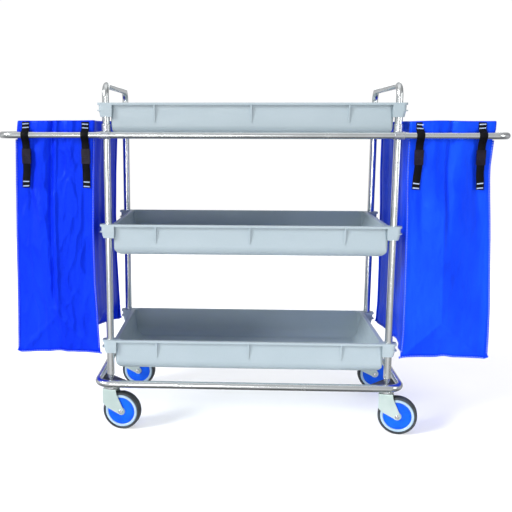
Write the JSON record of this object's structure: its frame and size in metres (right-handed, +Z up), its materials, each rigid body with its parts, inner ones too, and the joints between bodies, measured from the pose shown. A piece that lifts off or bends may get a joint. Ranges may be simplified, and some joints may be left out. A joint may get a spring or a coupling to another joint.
{
  "type": "housekeeping cart",
  "caption": "Hotel housekeeping cart with stacked open trays in a chromed tube frame, fabric linen bags on a rail loop at both ends, and swivel casters.",
  "frame": {"origin": "on the floor under the middle of the cart", "axes": "+X along the length towards the right-hand bag, +Y towards the rear long side, +Z up"},
  "size_m": [1.65, 0.514, 1.167],
  "materials": {
    "chrome_tube": "polished chrome plating, bright reflections",
    "gusset_steel": "plated pressed steel, darker where it faces down",
    "clamp_metal": "plain cast metal, satin",
    "tray_plastic": "pale blue-grey moulded plastic, fine texture",
    "bag_fabric": "royal blue coated fabric with a soft gloss",
    "webbing": "black woven webbing with white bar tacks",
    "buckle_plastic": "dark moulded plastic",
    "zinc_fittings": "zinc-plated steel",
    "fork_steel": "bright zinc-plated pressed steel",
    "rim_plastic": "light grey moulded plastic",
    "hub_cover_plastic": "bright blue moulded plastic",
    "tyre_rubber": "dark grey soft rubber, worn smooth"
  },
  "bodies": {
    "cart_frame": {"base_loop_tube": "chrome_tube", "corner_gussets": "gusset_steel", "post_front_left": "chrome_tube", "post_front_right": "chrome_tube", "post_rear_left": "chrome_tube", "post_rear_right": "chrome_tube", "post_feet": "zinc_fittings", "handle_frame_left": "chrome_tube", "handle_frame_right": "chrome_tube", "post_screws": "zinc_fittings", "rail_front_tube": "chrome_tube", "rail_rear_tube": "chrome_tube", "rail_bow_left": "chrome_tube", "rail_bow_right": "chrome_tube", "rail_clamps": "clamp_metal", "clamp_screws": "zinc_fittings", "tray_top": "tray_plastic", "tray_middle": "tray_plastic", "tray_bottom": "tray_plastic", "tray_screws": "zinc_fittings", "bag_left": "bag_fabric", "straps_left_front": "webbing", "straps_left_rear": "webbing", "bag_right": "bag_fabric", "straps_right_front": "webbing", "straps_right_rear": "webbing", "buckle_sockets": "buckle_plastic", "buckle_clips": "buckle_plastic", "swivel_cups": "zinc_fittings", "caster_stems": "zinc_fittings", "stem_nuts": "zinc_fittings", "swivel_ball_rings": "zinc_fittings"},
    "swivel_front_left": {"fork_front_left": "fork_steel", "axle_bolt_front_left": "zinc_fittings", "axle_nut_front_left": "zinc_fittings", "axle_bush_front_left": "zinc_fittings"},
    "wheel_front_left": {"wheel_rim_front_left": "rim_plastic", "hub_covers_front_left": "hub_cover_plastic", "tyre_front_left": "tyre_rubber"},
    "swivel_front_right": {"fork_front_right": "fork_steel", "axle_bolt_front_right": "zinc_fittings", "axle_nut_front_right": "zinc_fittings", "axle_bush_front_right": "zinc_fittings"},
    "wheel_front_right": {"wheel_rim_front_right": "rim_plastic", "hub_covers_front_right": "hub_cover_plastic", "tyre_front_right": "tyre_rubber"},
    "swivel_rear_left": {"fork_rear_left": "fork_steel", "axle_bolt_rear_left": "zinc_fittings", "axle_nut_rear_left": "zinc_fittings", "axle_bush_rear_left": "zinc_fittings"},
    "wheel_rear_left": {"wheel_rim_rear_left": "rim_plastic", "hub_covers_rear_left": "hub_cover_plastic", "tyre_rear_left": "tyre_rubber"},
    "swivel_rear_right": {"fork_rear_right": "fork_steel", "axle_bolt_rear_right": "zinc_fittings", "axle_nut_rear_right": "zinc_fittings", "axle_bush_rear_right": "zinc_fittings"},
    "wheel_rear_right": {"wheel_rim_rear_right": "rim_plastic", "hub_covers_rear_right": "hub_cover_plastic", "tyre_rear_right": "tyre_rubber"}
  },
  "joints": [
    {"name": "swivel_front_left_turn", "type": "hinge", "parent": "cart_frame", "child": "swivel_front_left", "pos_m": [-0.468, -0.215, 0.145], "axis": [0, 0, 1], "continuous": true},
    {"name": "wheel_front_left_roll", "type": "hinge", "parent": "swivel_front_left", "child": "wheel_front_left", "pos_m": [-0.42959, -0.22177, 0.065], "axis": [0.1736, 0.9848, 0], "continuous": true},
    {"name": "swivel_front_right_turn", "type": "hinge", "parent": "cart_frame", "child": "swivel_front_right", "pos_m": [0.468, -0.215, 0.145], "axis": [0, 0, 1], "continuous": true},
    {"name": "wheel_front_right_roll", "type": "hinge", "parent": "swivel_front_right", "child": "wheel_front_right", "pos_m": [0.506, -0.22377, 0.065], "axis": [0.225, 0.9744, 0], "continuous": true},
    {"name": "swivel_rear_left_turn", "type": "hinge", "parent": "cart_frame", "child": "swivel_rear_left", "pos_m": [-0.468, 0.215, 0.145], "axis": [0, 0, 1], "continuous": true},
    {"name": "wheel_rear_left_roll", "type": "hinge", "parent": "swivel_rear_left", "child": "wheel_rear_left", "pos_m": [-0.42921, 0.21092, 0.065], "axis": [0.1045, 0.9945, 0], "continuous": true},
    {"name": "swivel_rear_right_turn", "type": "hinge", "parent": "cart_frame", "child": "swivel_rear_right", "pos_m": [0.468, 0.215, 0.145], "axis": [0, 0, 1], "continuous": true},
    {"name": "wheel_rear_right_roll", "type": "hinge", "parent": "swivel_rear_right", "child": "wheel_rear_right", "pos_m": [0.507, 0.215, 0.065], "axis": [0, 1, 0], "continuous": true}
  ]
}
